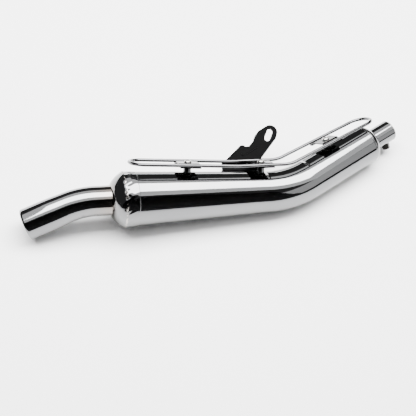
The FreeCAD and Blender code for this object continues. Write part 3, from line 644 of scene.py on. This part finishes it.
@dataclass
class Casing:
    """The polished shell: two tapers joined by the knee, and an end cap on each."""

    maker: Maker
    wall: float = 1.5 * MM
    ease: float = 5.0 * MM
    heat_reach: float = 9.0 * MM
    heat_fall: float = 2.2
    shell_turns: int = 144
    cap_turns: int = 320
    shoulder_points: int = 30
    skirt_points: int = 22
    skirt_stop: float = 0.3 * MM
    lap_rise: float = 0.3
    neck_band: float = 2.5 * MM

    def build(self) -> None:
        """Make the shell and both caps."""
        nodes, frames = self.maker.nodes, self.maker.frames
        front = Reach.measure("front_shell", nodes, frames.forward)
        rear = Reach.measure("rear_shell", nodes, frames.rear)
        self._shell(front, rear)
        self._cap("front_cap", "front_dome", frames.forward, front, FRONT_CAP)
        self._cap("rear_cap", "rear_dome", frames.rear, rear, REAR_CAP)

    def _shell(self, front: Reach, rear: Reach) -> None:
        """Sweep the shell along both centrelines and the knee's arc.

        The radius grows from the knee by a taper times ease ln(1 + exp(d / ease)), where d is the
        distance past the knee's end, so that the taper starts without a crease.

        Args:
            front: The front shell's reach.
            rear: The rear shell's reach.
        """
        bend = math.radians(self.maker.frames.bend)
        arc = front.start / math.tan(bend / 2)
        length = arc * bend
        stations = np.concatenate([np.linspace(-front.end + front.start, -0.02 * MM, 70),
                                   np.linspace(0, length, 60),
                                   np.linspace(length + 0.02 * MM, length + rear.end - rear.start, 44)])
        turn = np.clip(stations, 0, length) / arc
        straight = np.minimum(stations, 0) - front.start
        past = np.maximum(stations - length, 0)
        x = straight + arc * np.sin(turn) + past * np.cos(turn)
        y = arc * (1 - np.cos(turn)) + past * np.sin(turn)
        path = put_in(self.maker.frames.front, np.stack([x, y, np.zeros_like(x)], 1))
        radius = np.full(len(stations), front.start_radius)
        for reach, distance in ((front, -stations), (rear, stations - length)):
            taper = (reach.end_radius - reach.start_radius) / (reach.end - reach.start)
            radius += taper * self.ease * np.logaddexp(0, distance / self.ease)
        up = np.repeat(self.maker.frames.front[None, :3, 2], len(path), axis=0)
        wall = np.full(len(path), self.wall)
        shell = swept("casing_shell", path, radius, up, self.shell_turns, False, wall)
        self.maker.fit(shell, CHROME, "chromed_casing", ("front_shell", "knee_shell", "rear_shell"))

    def _cap(self, name: str, node: str, frame: Array, shell: Reach, form: "CapForm") -> None:
        """Turn an end cap, tinted by heat round its neck and wrinkled where it was pressed.

        The shoulder follows (x / depth) ** p + (y / rise) ** p = 1, where p is the form's power.  A
        skirt runs back over the shell, along its taper.  The wrinkles add a sum of waves round
        the axis, and die away as a bell curve from the middle of the pressed band.

        Args:
            name: The new piece's name.
            node: The CAD cap that it replaces.
            frame: The frame of its centreline.
            shell: The reach of the shell that it closes.
            form: The cap's own measures.
        """
        reach = Reach.measure(node, self.maker.nodes, frame)
        depth = reach.end - reach.start
        rise = shell.end_radius - reach.end_radius
        t = np.linspace(0, np.pi / 2, self.shoulder_points)
        power = 2 / form.power
        outer = np.stack([reach.start + depth * np.sin(t) ** power,
                          reach.end_radius + rise * np.cos(t) ** power], 1)
        taper = (shell.end_radius - shell.start_radius) / (shell.end - shell.start)
        back = np.linspace(form.skirt, self.skirt_stop, self.skirt_points)
        lap = form.lap * np.sin(np.pi / 2 * np.minimum(back / (self.lap_rise * form.skirt), 1))
        skirt = np.stack([reach.start - back, shell.end_radius - taper * back + lap], 1)
        outer = np.vstack([skirt, outer])

        def wrinkle(axial: Array, turn: Array) -> Array:
            """Return the pressed wrinkles.

            Args:
                axial: Distances along the axis.
                turn: Angles round it.

            Returns:
                What the wrinkles add to the radius.
            """
            waves = (0.6 * np.sin(17 * turn + 2 * np.sin(5 * turn))
                     + 0.35 * np.sin(31 * turn + axial / (2 * MM))
                     + 0.35 * np.sin(9 * turn - axial / (3 * MM)))
            band = 2 * MM + 0.45 * form.skirt
            seam = np.exp(-((axial - reach.start + 0.20 * form.skirt) / band) ** 2)
            neck = np.exp(-((axial - reach.end) / self.neck_band) ** 2)
            return form.wrinkle * waves * (seam + neck)

        cap = lathe(name, skin_section(outer[::-1], -self.wall), frame, self.cap_turns, wrinkle)
        local = put_in(np.linalg.inv(frame), vertices(name, {name: cap}))
        fade = np.hypot(local[:, 1], local[:, 2]) - reach.end_radius
        set_tint(cap, form.heat * np.exp(-np.maximum(fade, 0) / self.heat_reach * self.heat_fall))
        self.maker.fit(cap, CHROME, "chromed_casing", (node,))


@dataclass(frozen=True)
class BeadForm:
    """How one weld bead is laid: its scallops round the ring, unevenness, width and height."""

    scallops: int
    rough: float
    wide: float
    tall: float


@dataclass
class Beads:
    """The rippled weld beads round the seams."""

    maker: Maker
    turns: int = 240
    points: int = 21
    floor: float = 0.72
    sink: float = 0.3 * MM
    heat: float = 0.08

    def build(self) -> None:
        """Make the three ring beads."""
        frames = self.maker.frames
        even = BeadForm(scallops=26, rough=1.0, wide=1.0, tall=1.0)
        seam = BeadForm(scallops=58, rough=1.6, wide=1.2, tall=0.62)
        neat = BeadForm(scallops=26, rough=0.8, wide=1.0, tall=1.0)
        self._ring("inlet_bead", "inlet_weld", frames.forward, even)
        self._ring("seam_bead", "front_seam_weld", frames.forward, seam)
        self._ring("outlet_bead", "outlet_weld", frames.rear, neat)

    def _ring(self, name: str, node: str, frame: Array, form: BeadForm) -> None:
        """Turn a bead whose crown rises in overlapping scallops.

        The radius gains height times cos squared(pi u / 2) times floor + (1 - floor) |sin(w t / 2)|
        plus three slower waves, where u runs across the bead, t round it and w is the number of
        scallops.

        Args:
            name: The new piece's name.
            node: The CAD bead that it replaces.
            frame: The frame of its centreline.
            form: The bead's own measures.
        """
        reach = Reach.measure(node, self.maker.nodes, frame)
        local = put_in(np.linalg.inv(frame), vertices(node, self.maker.nodes))
        radius = np.hypot(local[:, 1], local[:, 2])
        low, height = radius.min(), (radius.max() - radius.min()) * form.tall
        middle, half = (reach.start + reach.end) / 2, (reach.end - reach.start) / 2 * form.wide
        u = np.linspace(-1, 1, self.points)
        sag = self.sink * (form.wide - 1)
        arch = np.stack([middle + half * u, low - sag * u * u], 1)
        base = np.array([[middle + half, low - sag - self.sink], [middle - half, low - sag - self.sink]])

        def ripple(axial: Array, turn: Array) -> Array:
            """Return the bead's scallops.

            Args:
                axial: Distances along the axis.
                turn: Angles round it.

            Returns:
                What the scallops add to the radius.
            """
            across = (axial - middle) / half
            skew = turn + 0.05 * np.cos(np.pi * across / 2)
            scallop = self.floor + (1 - self.floor) * np.abs(np.sin(form.scallops * skew / 2))
            drift = (0.14 * np.sin(5 * turn + 1.0) + 0.12 * np.sin(11 * turn)
                     + 0.12 * np.sin(29 * turn + 4 * across))
            return height * np.cos(np.pi * across / 2) ** 2 * (scallop + form.rough * drift)

        bead = lathe(name, np.vstack([arch, base]), frame, self.turns, ripple)
        set_tint(bead, np.full(len(bead.data.vertices), self.heat * form.rough))
        self.maker.fit(bead, WELD, "chromed_weld", (node,))


@dataclass
class Inlet:
    """The bent inlet pipe with its flared socket."""

    maker: Maker
    lead: float = 20.0 * MM
    insert: float = 6.0 * MM
    flare: float = 18.0 * MM
    bend_end_radius: float = 21.3 * MM
    wall: float = 1.5 * MM
    step: float = 1.0 * MM
    blend: int = 4
    turns: int = 128
    heat: float = 0.25
    heat_reach: float = 9.0 * MM

    def build(self, record: dict) -> None:
        """Sweep the pipe from the front cap to the mouth.

        The bend is tangent to the casing's centreline and to the mouth's axis, so its radius is
        the distance from the bend's start to their crossing over tan(half the bend angle).

        Args:
            record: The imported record, which holds the inlet's mount.
        """
        mount = next(m for m in record["mounts"] if m["name"] == "inlet")
        mouth, out = np.array(mount["pos_m"], float), np.array(mount["axis"], float)
        forward = self.maker.frames.forward
        ahead, corner = forward[:3, 0], forward[:3, 3]
        cap = Reach.measure("front_dome", self.maker.nodes, forward)
        nose = corner + ahead * cap.end
        normal = np.cross(ahead, out)
        normal /= np.linalg.norm(normal)
        system = np.stack([ahead, out, normal], 1)
        reach_in, reach_out, _ = np.linalg.solve(system, mouth - nose)
        crossing = nose + ahead * reach_in
        bend = math.acos(float(ahead @ out))
        radius = (reach_in - self.lead) / math.tan(bend / 2)
        corners = np.stack([nose - ahead * self.insert, crossing, mouth])
        path = round_corners(corners, [0, radius, 0], False, self.step)
        along = np.concatenate([[0], np.cumsum(np.linalg.norm(np.diff(path, axis=0), axis=1))])
        socket = mount["dims"]["length_mm"] * MM
        straight = along[-1] - socket
        knots = [0, self.insert + self.lead, straight - self.flare, straight, along[-1]]
        outer_end = mount["dims"]["r_mm"] * MM + self.wall
        radii = [cap.end_radius, cap.end_radius, self.bend_end_radius, outer_end, outer_end]
        kernel = np.hanning(2 * self.blend + 1)
        outer = np.interp(along, knots, radii)
        outer = np.convolve(np.pad(outer, self.blend, mode="edge"), kernel / kernel.sum(), mode="valid")
        up = np.repeat(normal[None], len(path), 0)
        pipe = swept("inlet_pipe_skin", path, outer, up, self.turns, False, np.full(len(path), self.wall))
        distance = np.linalg.norm(vertices(pipe.name, {pipe.name: pipe}) - nose, axis=1) - cap.end_radius
        set_tint(pipe, self.heat * np.exp(-np.maximum(distance, 0) / self.heat_reach))
        self.maker.fit(pipe, CHROME, "chromed_casing", ("inlet_pipe", "inlet_socket"))


@dataclass(frozen=True)
class ScrewForm:
    """A round-headed guard screw."""

    length: float = 9.4 * MM
    shank: float = 2.95 * MM
    head: float = 5.4 * MM
    height: float = 3.3 * MM
    recess: float = 2.0 * MM
    edge: float = 0.2 * MM
    pole: float = 0.02 * MM
    crown: float = 0.82
    chamfer: float = 0.97
    points: int = 14
    turns: int = 48


@dataclass
class Guard:
    """The wire heat guard with its three clips and screws."""

    maker: Maker
    clock: float = 48.0
    half: float = 21.0 * MM
    half_rear: float = 18.9 * MM
    wire: float = 2.4 * MM
    front: float = 232.4 * MM
    kink: float = 83.0 * MM
    rear: float = 174.0 * MM
    lift_front: float = 52.0 * MM
    lift: float = 43.0 * MM
    lift_rear: float = 35.0 * MM
    clip_half: float = 15.0 * MM
    sheet: float = 1.5 * MM
    seat: float = 1.2 * MM
    shoulder: float = 8.6 * MM
    foot: float = 14.6 * MM
    corner: float = 3.0 * MM
    play: float = 0.05 * MM
    loop_share: float = 0.97
    kink_radius: float = 90.0 * MM
    knee_radius: float = 46.0 * MM
    step: float = 0.7 * MM
    wire_turns: int = 24
    screw: ScrewForm = ScrewForm()

    def build(self) -> None:
        """Make the wire, the clips and the screws."""
        frames = self.maker.frames
        forward = frames.forward @ spin("X", self.clock)
        rear = frames.rear @ spin("X", -self.clock)
        self._wire(forward, rear)
        for name, frame in (("front", forward), ("middle", forward), ("rear", rear)):
            self._clip(name, frame)
            self._screw(name, frame)

    def _wire(self, forward: Array, rear: Array) -> None:
        """Sweep the closed loop of wire through its eight corners.

        Args:
            forward: The front centreline's frame, facing forwards.
            rear: The rear centreline's frame.
        """
        elbow = math.tan(math.radians(self.maker.frames.bend) / 2)
        rails = []
        for sign in (1, -1):
            side = -sign * self.half
            above_knee = put_in(forward, np.array([0, side, self.lift]))
            depth = put_in(np.linalg.inv(self.maker.frames.front), above_knee)
            rails.append([put_in(forward, np.array([self.front, side, self.lift_front])),
                          put_in(forward, np.array([self.kink, side, self.lift])),
                          put_in(forward, np.array([depth[1] * elbow, side, self.lift])),
                          put_in(rear, np.array([self.rear, sign * self.half_rear, self.lift_rear]))])
        corners = np.array(rails[0] + rails[1][::-1])
        radii = [self.half * self.loop_share, self.kink_radius, self.knee_radius,
                 self.half_rear * self.loop_share]
        path = round_corners(corners, radii + radii[::-1], True, self.step)
        up = np.repeat(forward[None, :3, 2], len(path), 0)
        wire = swept("guard_rail", path, np.full(len(path), self.wire), up, self.wire_turns, True)
        self.maker.fit(wire, SHADED_WIRE, "chromed_wire", ("guard_wire",))

    def _seat_frame(self, name: str, frame: Array) -> Array:
        """Return a clip's frame: on its screw's axis, level with the rails and along their slope.

        Args:
            name: Which of the three clips it is.
            frame: The frame of the clip's centreline.

        Returns:
            The clip's frame.
        """
        low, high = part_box(f"guard_screw_{name}")
        spot = put_in(np.linalg.inv(frame), np.array((low + high) / 2))
        if frame[0, 0] > 0:
            slope = (self.lift_rear - self.lift) / self.rear
            level = self.lift + slope * spot[0]
        else:
            slope = (self.lift_front - self.lift) / (self.front - self.kink) if spot[0] > self.kink else 0.0
            level = self.lift + slope * max(spot[0] - self.kink, 0)
        return frame @ shift(spot[0], 0, level) @ spin("Y", -math.degrees(math.atan(slope)))

    def _clip(self, name: str, frame: Array) -> None:
        """Press a clip: a raised seat and a cradle under each rail, with rounded corners.

        Each point's height is the cradle's level plus the seat's rise times a smooth step of its
        distance from the middle.

        Args:
            name: Which of the three clips it is.
            frame: The frame of its centreline.
        """
        place = self._seat_frame(name, frame)
        low = -self.wire - self.play
        edge = self.half + self.wire * 0.55
        y = np.linspace(-edge, edge, 61)
        x = np.linspace(-self.clip_half, self.clip_half, 31)
        step = np.clip((self.foot - np.abs(y)) / (self.foot - self.shoulder), 0, 1)
        height = low + (self.seat - low) * step * step * (3 - 2 * step)
        gx, gy = np.meshgrid(x, y, indexing="ij")
        outward = np.maximum(np.abs(gy) - edge + self.corner, 0) / self.corner
        narrow = 1 - 0.5 * outward ** 2 * self.corner / self.clip_half
        gz = np.repeat(height[None], len(x), 0)
        top = np.stack([gx * narrow, gy, gz], 2)
        bottom = top - np.array([0, 0, self.sheet])
        clip = shell_from(f"clip_{name}", top, bottom, place)
        self.maker.fit(clip, SHADED_CLIP, "chromed_clip", (f"guard_clip_{name}",))

    def _screw(self, name: str, frame: Array) -> None:
        """Turn a round-headed screw with a recess in its crown.

        The head's line is a quarter ellipse from its rim to the recess.

        Args:
            name: Which of the three screws it is.
            frame: The frame of its centreline.
        """
        form = self.screw
        place = self._seat_frame(name, frame) @ spin("Y", -90)
        tip = self.seat - form.length
        t = np.linspace(0, np.pi / 2, form.points)
        rim = 1 - form.crown
        dome = np.stack([self.seat + form.height * (rim + form.crown * np.sin(t)),
                         form.recess + (form.head - form.recess) * np.cos(t)], 1)
        shank = [[tip, form.pole], [tip, form.shank], [self.seat, form.shank],
                 [self.seat, form.head * form.chamfer], [self.seat + form.edge, form.head]]
        socket = [[self.seat + form.height * 0.5, form.recess * 0.92],
                  [self.seat + form.height * 0.4, form.pole]]
        screw = lathe(f"screw_{name}", np.vstack([shank, dome, socket])[::-1], place, form.turns)
        screw.data.set_sharp_from_angle(angle=math.radians(40))
        self.maker.fit(screw, SCREW, "plated_screw", (f"guard_screw_{name}",))


def shell_from(name: str, top: Array, bottom: Array, frame: Array) -> bpy.types.Object:
    """Close two matching grids, one above the other, into one solid.

    The rim's vertices are the first row, the last column, the last row backwards and the first
    column backwards, and each pair of neighbours makes one side face between the two grids.

    Args:
        name: The new object's name.
        top: The upper grid of points.
        bottom: The lower grid, of the same shape.
        frame: The frame that the points are in.

    Returns:
        The closed object.
    """
    rows, columns, _ = top.shape
    index = np.arange(rows * columns).reshape(rows, columns)
    quads = np.stack([index[:-1, :-1], index[:-1, 1:], index[1:, 1:], index[1:, :-1]], 2).reshape(-1, 4)
    rim = np.concatenate([index[0, :], index[1:, -1], index[-1, -2::-1], index[-2:0:-1, 0]])
    ahead = np.roll(rim, -1)
    below = rows * columns
    sides = np.stack([rim, rim + below, ahead + below, ahead], 1)
    faces = np.vstack([quads, quads[:, ::-1] + below, sides])
    points = put_in(frame, np.vstack([top.reshape(-1, 3), bottom.reshape(-1, 3)]))
    mesh = bpy.data.meshes.new(name)
    mesh.from_pydata(points.tolist(), [], faces.tolist())
    mesh.polygons.foreach_set("use_smooth", np.ones(len(mesh.polygons), bool))
    obj = bpy.data.objects.new(name, mesh)
    bpy.context.scene.collection.objects.link(obj)
    face_outwards(obj)
    mesh.set_sharp_from_angle(angle=math.radians(40))
    return obj


# ------------------------------------------------------------------ carried-over nodes
CARRIED: tuple[tuple[Finish, tuple[str, ...]], ...] = (
    (CHROME, ("tail_pipe", "guard_post_front", "guard_post_middle", "guard_post_rear", "bracket_foot")),
    (STEEL, ("transfer_tube_upper", "transfer_tube_lower", "return_tube", "tail_core", "front_baffle",
             "middle_baffle", "rear_baffle", "packing_washer", "diffuser_collar")),
    (SOOT, ("inlet_core", "diffuser_tube", "diffuser_cap")),
    (FIBRE, ("fibre_packing",)),
    (DARK, ("diffuser_boss", "diffuser_bolt")),
    (BUSH, ("guard_bush_front", "guard_bush_middle", "guard_bush_rear")),
    (BLACK, ("bracket_plate", "bracket_weld_upper", "bracket_weld_lower")),
)


def dress_carried(maker: Maker) -> None:
    """Give every CAD node that is still shown its finish.

    Args:
        maker: What holds the nodes and the finishes.
    """
    for finish, names in CARRIED:
        for name in names:
            obj = maker.nodes[name]
            if finish.heat is not None:
                set_tint(obj, np.zeros(len(obj.data.vertices)))
            maker.finishes.put(obj, finish)
        log.info("dressed %s in %s", ", ".join(names), finish.name)


# ------------------------------------------------------------------ studio
@dataclass(frozen=True)
class Lamp:
    """A rectangular light: its place from the object's centre and the floor, size, tilt and power."""

    name: str
    place: tuple[float, float, float]
    size: tuple[float, float]
    tilt: tuple[float, float, float]
    power: float


@dataclass(frozen=True)
class Cloth:
    """A dark upright cloth: its left and right ends and its upper edge."""

    name: str
    left: float
    right: float
    top: float


LAMPS = (
    Lamp("softbox", (0.3, 0.75, 1.75), (4.0, 3.2), (0, 0, 0), 100.0),
    Lamp("key", (0.1, 0.35, 1.70), (2.6, 1.15), (0, 0, 0), 230.0),
    Lamp("side_panel", (2.7, -1.5, 1.3), (2.6, 1.7), (62, 0, 61), 22.0),
)
CLOTHS = (Cloth("studio_cloth", -5.0, 1.9, 4.4), Cloth("studio_skirt", 1.9, 7.0, 0.95))


@dataclass
class Studio:
    """Pale floor, an overhead softbox and key, and dark cloth on the camera's side of the room."""

    maker: Maker
    floor_half: float = 14.0
    cloth_distance: float = 2.6
    cloth_low: float = 0.30
    air_tone: tuple[float, float, float, float] = (0.80, 0.81, 0.82, 1.0)
    air_strength: float = 0.13

    def build(self) -> None:
        """Make the floor, the cloth, the lights and the camera."""
        low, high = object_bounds()
        centre = (low + high) / 2
        origin = np.array([centre.x, centre.y, low.z])
        flat = np.array([(-1, -1, 0), (1, -1, 0), (1, 1, 0), (-1, 1, 0)]) * self.floor_half
        self._sheet("studio_floor", origin + flat, FLOOR)
        for cloth in CLOTHS:
            y, bottom = -self.cloth_distance, self.cloth_low
            upright = np.array([(cloth.left, y, bottom), (cloth.right, y, bottom),
                                (cloth.right, y, cloth.top), (cloth.left, y, cloth.top)])
            self._sheet(cloth.name, origin + upright, SHADE).visible_camera = False
        for lamp in LAMPS:
            self._light(lamp, origin)
        world = bpy.data.worlds.new("studio_air")
        world.use_nodes = True
        background = world.node_tree.nodes["Background"]
        background.inputs["Color"].default_value = self.air_tone
        background.inputs["Strength"].default_value = self.air_strength
        bpy.context.scene.world = world
        Camera(self.maker.frames).build()

    def _sheet(self, name: str, corners: Array, finish: Finish) -> bpy.types.Object:
        """Add one flat stage surface and return it.

        Args:
            name: The surface's name.
            corners: Its four corners.
            finish: Its finish.

        Returns:
            The surface.
        """
        mesh = bpy.data.meshes.new(name)
        mesh.from_pydata(corners.tolist(), [], [(0, 1, 2, 3)])
        obj = bpy.data.objects.new(name, mesh)
        bpy.context.scene.collection.objects.link(obj)
        self.maker.finishes.put(obj, finish)
        obj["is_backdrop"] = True
        return obj

    @staticmethod
    def _light(lamp: Lamp, origin: Array) -> None:
        """Add a light, which faces down before it is tilted.

        Args:
            lamp: The light's measures.
            origin: The point that it is set out from.
        """
        data = bpy.data.lights.new(lamp.name, "AREA")
        data.shape = "RECTANGLE"
        data.size, data.size_y = lamp.size
        data.energy = lamp.power
        obj = bpy.data.objects.new(lamp.name, data)
        obj.location = origin + lamp.place
        obj.rotation_euler = [math.radians(angle) for angle in lamp.tilt]
        bpy.context.scene.collection.objects.link(obj)


@dataclass
class Camera:
    """The camera, placed from the knee's corner in the frame of the front centreline."""

    frames: Frames
    offset: tuple[float, float, float] = (-0.4736, -0.6859, 1.1855)
    azimuth: float = -27.72
    elevation: float = 57.64
    roll: float = 20.71
    lens: float = 86.5

    def build(self) -> None:
        """Make the camera and set it as the scene's own."""
        a, e, r = (math.radians(value) for value in (self.azimuth, self.elevation, self.roll))
        ahead = np.array([-math.sin(a) * math.cos(e), math.cos(a) * math.cos(e), -math.sin(e)])
        level = np.array([math.cos(a), math.sin(a), 0.0])
        above = np.cross(level, ahead)
        right = math.cos(r) * level + math.sin(r) * above
        up = -math.sin(r) * level + math.cos(r) * above
        local = np.eye(4)
        local[:3, :3] = np.stack([right, up, -ahead], 1)
        local[:3, 3] = self.offset
        data = bpy.data.cameras.new("camera")
        data.lens = self.lens
        data.sensor_width = 36.0
        data.clip_start, data.clip_end = 0.01, 50.0
        camera = bpy.data.objects.new("camera", data)
        camera.matrix_world = Matrix((self.frames.front @ local).tolist())
        bpy.context.scene.collection.objects.link(camera)
        bpy.context.scene.camera = camera


def main() -> None:
    """Build every sub-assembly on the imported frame, then the studio."""
    logging.basicConfig(level=logging.INFO, format="%(name)s: %(message)s")
    bpy.ops.wm.read_factory_settings(use_empty=True)
    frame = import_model()
    maker = Maker(frame["nodes"], Frames.measure(frame["nodes"]))
    log.info("knee turns %.2f degrees", maker.frames.bend)
    Casing(maker).build()
    Beads(maker).build()
    Inlet(maker).build(frame["record"])
    Guard(maker).build()
    dress_carried(maker)
    Studio(maker).build()


if __name__ == "__main__":
    main()
